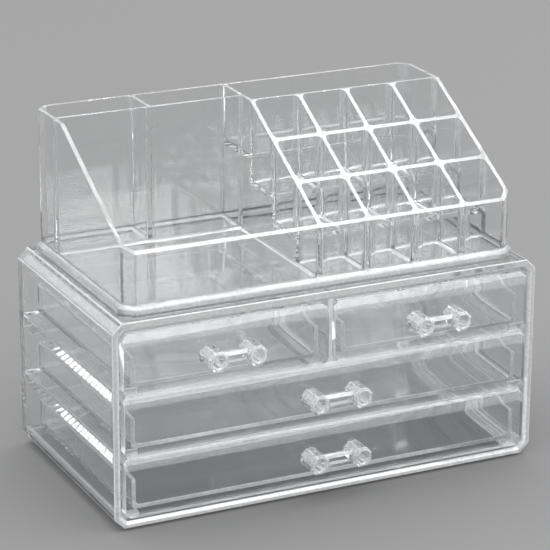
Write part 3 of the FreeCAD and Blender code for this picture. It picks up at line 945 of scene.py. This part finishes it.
@dataclass
class Tray:
    """The lift-off tray: a low bin, two tall compartments, a slot and a stepped grid, in sloping sides."""

    body: str = "tray"
    wall: float = 2.2 * MM
    sheet: float = 2.0 * MM
    corner: float = 5.5 * MM
    slope_start: float = 32.35 * MM
    front_top: float = 142.5 * MM
    cell_corner: float = 2.8 * MM
    pocket_corner: float = 1.6 * MM
    floor_fillet: float = 1.6 * MM
    fillet_steps: int = 4
    draft: float = 0.25 * MM
    draft_height: float = 12 * MM
    edge: float = 0.32 * MM
    web_skin: float = 0.4 * MM
    web_foot: float = 2.5 * MM
    lap: float = 0.5 * MM
    columns: int = 4
    rows: int = 3
    flare: tuple[Point, ...] = (
        (2.4 * MM, 0.0), (2.4 * MM, 2.7 * MM), (2.2 * MM, 3.4 * MM), (1.7 * MM, 3.85 * MM),
        (1.2 * MM, 4.1 * MM), (0.65 * MM, 4.6 * MM), (0.25 * MM, 5.3 * MM), (0.0, 6.4 * MM),
    )

    def build(self) -> bpy.types.Object:
        """Builds the tray as one moulding.

        Returns:
            The finished tray.
        """
        made = self.blank()
        self.cells(made)
        combine(made, Join.WELD, self.corner_web())
        combine(made, Join.CUT, *self.pockets(), self.top_tool(), *self.hollow())
        nodes = [
            "tray_shell", "tray_floor", "stepped_floor", "grid_side_wall",
            *(f"column_divider_{k}" for k in range(1, self.columns)),
            *(f"row_wall_{k}" for k in range(1, self.rows)),
            "left_cross_wall", "right_cross_wall", "rear_divider",
        ]
        flange_top = self.walls()[0].z + self.flare[-2][1]

        def gleams(face: bpy.types.MeshPolygon) -> PaintedGleam | None:
            """Paints a glow on the tops of the walls and the flange's sides."""
            on_top = face.center.z > self.top_at(face.center.y) - self.edge
            on_flange = face.center.z < flange_top and abs(face.normal.z) < SQUARE
            return PaintedGleam.RIM if on_top or on_flange else None

        soften(made, self.edge, TRAY_FINISH, gleams)
        return dress(made, TRAY_FINISH, self.body, *nodes)

    def walls(self) -> tuple[Vector, Vector]:
        """Gives the outer faces of the upright walls, inside the flange."""
        low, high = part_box("tray_shell")
        spread = self.flare[0][0]
        return (
            Vector((low.x + spread, low.y + spread, low.z)),
            Vector((high.x - spread, high.y - spread, high.z)),
        )

    def top_at(self, y: float) -> float:
        """Gives the height of the walls' tops at a place from front to back."""
        low, high = self.walls()
        rate = (high.z - self.front_top) / (self.slope_start - low.y)
        return high.z - rate * max(self.slope_start - y, 0.0)

    def footprint(self, grow: float) -> list[Point]:
        """Walks the outer wall, moved outwards by an amount."""
        low, high = self.walls()
        return outline(
            (low.x - grow, low.y - grow), (high.x + grow, high.y + grow), self.corner + grow * DIAGONAL_SPREAD
        )

    def blank(self) -> bpy.types.Object:
        """Stands up the solid that the tray is cut from: a flange that flares into upright walls."""
        low, high = self.walls()
        rings = [lift(self.footprint(grow), low.z + rise, Along.Z) for grow, rise in self.flare]
        rings.append(lift(self.footprint(0.0), high.z + OVERSHOOT, Along.Z))
        return Mould(rings).piece("tray_moulding")

    def pocket(
        self,
        low: Point,
        high: Point,
        floor: float,
        reach: float | Sequence[float],
        steps: int | Sequence[int] = 4,
    ) -> bpy.types.Object:
        """Makes the solid that cuts one compartment, with a rounded floor and a little draft.

        Args:
            low: The compartment's left front corner, inside.
            high: Its right back corner.
            floor: The height of its floor.
            reach: How far back its upright corners are cut.
            steps: The runs in each corner.

        Returns:
            The cutting tool.
        """
        fillet, top = self.floor_fillet, self.walls()[1].z + OVERSHOOT * 1.5
        levels = [
            (self.draft + fillet * (1 - math.sin(turn)), floor + fillet * (1 - math.cos(turn)))
            for turn in quarter(self.fillet_steps)
        ]
        levels += [(0.0, floor + self.draft_height), (0.0, top)]
        rings = []
        for inset, z in levels:
            near, far = (low[0] + inset, low[1] + inset), (high[0] - inset, high[1] - inset)
            rings.append(lift(outline(near, far, reach, steps), z, Along.Z))
        return Mould(rings).piece("pocket tool")

    def cells(self, base: bpy.types.Object) -> None:
        """Cuts the stepped grid of cells out of the blank."""
        front_row, rear_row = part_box("row_wall_2")[0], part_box("row_wall_1")[0]
        column_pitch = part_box("column_divider_2")[0].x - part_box("column_divider_1")[0].x
        row_pitch = rear_row.y - front_row.y
        rise = rear_row.z - front_row.z
        first = (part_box("grid_side_wall")[1].x, front_row.y - row_pitch + self.sheet, front_row.z - rise)
        size = (column_pitch - self.sheet, row_pitch - self.sheet)
        tool = self.pocket((0.0, 0.0), size, 0.0, self.cell_corner)
        pattern = StepPattern(self.columns, self.rows, column_pitch, row_pitch, rise, first)
        pattern.apply(base, tool, TRAY_FINISH.material(), cut=True)
        tidy(base)

    def corner_web(self) -> bpy.types.Object:
        """Fills the grid's front outer corner out to the thickness of the wall behind its chamfer."""
        low, high = self.walls()
        skin = self.web_skin
        x, y = high.x - skin, low.y + skin
        outer = self.corner - skin * 1.2
        inner = self.corner + self.wall * math.sqrt(2) - 2 * skin
        points = [(x, y + outer), (x, y + inner), (x - inner, y), (x - outer, y)]
        return Mould.bar(points, low.z + self.web_foot, high.z + OVERSHOOT / 2, Along.Z).piece("web tool")

    def pockets(self) -> list[bpy.types.Object]:
        """Makes the tools for the low bin, the two tall compartments and the slot behind the grid."""
        low, high = self.walls()
        x0, x1 = low.x + self.wall, high.x - self.wall
        y0, y1 = low.y + self.wall, high.y - self.wall
        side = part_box("grid_side_wall")
        cross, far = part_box("left_cross_wall"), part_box("right_cross_wall")
        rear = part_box("rear_divider")
        floor, slot_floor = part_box("tray_floor")[1].z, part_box("stepped_floor")[1].z
        cut = self.corner - self.wall * DIAGONAL_SPREAD
        soft = self.pocket_corner
        return [
            self.pocket((x0, y0), (side[0].x, cross[0].y), floor, (cut, soft, soft, soft), (1, 4, 4, 4)),
            self.pocket((x0, cross[1].y), (rear[0].x, y1), floor, (soft, soft, soft, cut), (4, 4, 4, 1)),
            self.pocket((rear[1].x, cross[1].y), (side[0].x, y1), floor, soft),
            self.pocket((side[1].x, far[1].y), (x1, y1), slot_floor, (soft, soft, cut, soft), (4, 4, 1, 4)),
        ]

    def top_tool(self) -> bpy.types.Object:
        """Makes the tool that slopes the front of every wall."""
        low, high = self.walls()
        front, back, sky = low.y - OVERSHOOT, high.y + OVERSHOOT, high.z + 3 * OVERSHOOT
        side = [
            (front, self.top_at(front)), (self.slope_start, high.z),
            (back, high.z), (back, sky), (front, sky),
        ]
        return Mould.bar(side, low.x - OVERSHOOT, high.x + OVERSHOOT, Along.X).piece("slope tool")

    def hollow(self) -> list[bpy.types.Object]:
        """Makes the tools that hollow the underside to an even thickness."""
        low, high = self.walls()
        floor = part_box("tray_floor")[0].z
        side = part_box("grid_side_wall")[1].x
        below = low.z - OVERSHOOT
        risers = (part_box(name) for name in ("right_cross_wall", "row_wall_1", "row_wall_2"))
        steps = [(riser[1].y, riser[0].z - self.sheet) for riser in risers]
        front, back = low.y - OVERSHOOT, high.y + OVERSHOOT
        ground = [(front, below), (back, below)]
        stair = [*ground, (back, steps[0][1])]
        for (y, level), (_, below_it) in zip(steps, [*steps[1:], (front, floor)]):
            stair += [(y, level), (y, below_it)]
        stair.append((front, floor))
        tools = []
        for name, points, x0, x1 in (
            ("stair tool", stair, side, high.x + OVERSHOOT),
            ("floor tool", [*ground, (back, floor), (front, floor)], low.x - OVERSHOOT, side + self.lap),
        ):
            tool = Mould.bar(points, x0, x1, Along.X).piece(name)
            core = Mould.bar(self.footprint(-self.wall), below - OVERSHOOT, high.z + OVERSHOOT, Along.Z)
            tools.append(combine(tool, Join.KEEP, core.piece("core tool")))
        return tools


# --------------------------------------------------------------------------------------------------
# Studio


@dataclass
class Studio:
    """A plain pale floor, soft light and the camera."""

    floor_radius: float = 4.0
    floor_grey: float = 0.2
    fleck_size: float = 900.0
    zenith: float = 2.6
    horizon: float = 0.4
    dim_rise: float = 0.42
    bright_rise: float = 0.8
    bounces: int = 128
    middle: tuple[float, float, float] = (0.0, 0.0, 0.1)
    bearing: float = -25.89
    height: float = 19.25
    roll: float = 0.30
    distance: float = 1.4054
    target: tuple[float, float, float] = (-0.0003, 0.00715, 0.0988)
    lens: float = 174.55

    def build(self) -> None:
        """Sets up the floor, the light and the camera."""
        self.floor()
        self.world()
        self.rays()
        self.softbox("front softbox", spot=(1.0, -2.0, 1.1), size=1.1, watts=15.0)
        for side in (-1, 1):
            self.softbox(f"side softbox {side}", spot=(side * 1.7, 0.2, 0.55), size=0.9, watts=5.0)
        self.camera()

    def floor(self) -> None:
        """Lays the floor."""
        made = bpy.data.materials.new("studio paper")
        made.use_nodes = True
        bench = Bench(made.node_tree)
        place = bench.node("ShaderNodeTexCoord").outputs["Object"]
        fleck = ClearPlastic.noise(bench, place, self.fleck_size, 3.0)
        grey = self.floor_grey
        dark, light = (grey * 0.99, grey * 0.995, grey, 1.0), (grey * 1.01, grey * 1.01, grey * 1.01, 1.0)
        colour = bench.node("ShaderNodeMix", {"data_type": "RGBA"}, {0: fleck, 6: dark, 7: light})
        paper = bench.node(
            "ShaderNodeBsdfPrincipled",
            inputs={"Base Color": colour.outputs[2], "Roughness": 0.9, "Specular IOR Level": 0.1},
        )
        bench.node("ShaderNodeOutputMaterial", inputs={"Surface": paper.outputs[0]})
        sheet = bmesh.new()
        bmesh.ops.create_circle(sheet, cap_ends=True, segments=64, radius=self.floor_radius)
        mesh = bpy.data.meshes.new("studio_floor")
        sheet.to_mesh(mesh)
        sheet.free()
        mesh.materials.append(made)
        floor = bpy.data.objects.new("studio_floor", mesh)
        bpy.context.scene.collection.objects.link(floor)

    def world(self) -> None:
        """Surrounds the object with soft light, dim near the horizon and bright overhead."""
        scene = bpy.context.scene
        scene.world = bpy.data.worlds.new("soft studio")
        scene.world.use_nodes = True
        bench = Bench(scene.world.node_tree)
        heading = bench.node("ShaderNodeTexCoord").outputs["Generated"]
        rise = bench.signal(bench.node("ShaderNodeSeparateXYZ", inputs={0: heading}), 2)
        climb = bench.node(
            "ShaderNodeMapRange", {"interpolation_type": "SMOOTHSTEP"},
            {
                "Value": rise, "From Min": self.dim_rise, "From Max": self.bright_rise,
                "To Min": self.horizon, "To Max": self.zenith,
            },
        )
        glow = bench.node(
            "ShaderNodeBackground", inputs={"Color": (1.0, 1.0, 1.0, 1.0), "Strength": climb.outputs[0]}
        )
        bench.node("ShaderNodeOutputWorld", inputs={"Surface": glow.outputs[0]})

    def rays(self) -> None:
        """Lets light run on inside the sheets for as long as their edges need to shine."""
        scene = bpy.context.scene
        scene.view_settings.view_transform = "Standard"
        scene.cycles.max_bounces = scene.cycles.glossy_bounces = self.bounces
        scene.cycles.transmission_bounces = scene.cycles.transparent_max_bounces = self.bounces // 2
        scene.cycles.caustics_reflective = scene.cycles.caustics_refractive = False

    def softbox(self, name: str, spot: tuple[float, float, float], size: float, watts: float) -> None:
        """Hangs one square softbox that faces the middle of the object.

        Args:
            name: The lamp's name.
            spot: Where it hangs.
            size: Its side.
            watts: Its power.
        """
        lamp = bpy.data.lights.new(name, "AREA")
        lamp.size, lamp.energy = size, watts
        made = bpy.data.objects.new(name, lamp)
        made.location = spot
        made.rotation_euler = (Vector(self.middle) - Vector(spot)).to_track_quat("-Z", "Y").to_euler()
        bpy.context.scene.collection.objects.link(made)

    def camera(self) -> None:
        """Sets the camera at its bearing, height and distance."""
        bearing, height, roll = (math.radians(a) for a in (self.bearing, self.height, self.roll))
        level = math.cos(height)
        back = Vector((math.sin(bearing) * level, -math.cos(bearing) * level, math.sin(height)))
        right = Vector((0, 0, 1)).cross(back).normalized()
        up = back.cross(right)
        across = right * math.cos(roll) + up * math.sin(roll)
        upright = up * math.cos(roll) - right * math.sin(roll)
        place = Matrix((across, upright, back)).transposed().to_4x4()
        place.translation = Vector(self.target) + back * self.distance
        data = bpy.data.cameras.new("camera")
        data.lens = self.lens
        camera = bpy.data.objects.new("camera", data)
        camera.matrix_world = place
        bpy.context.scene.collection.objects.link(camera)
        bpy.context.scene.camera = camera


def main() -> None:
    """Builds the organizer piece by piece."""
    logging.basicConfig(level=logging.INFO, format="%(message)s", stream=sys.stdout)
    Studio().build()
    Cabinet().build()
    for name in ("bottom", "middle", "left_small", "right_small"):
        Drawer(name).build()
    Tray().build()


if __name__ == "__main__":
    main()
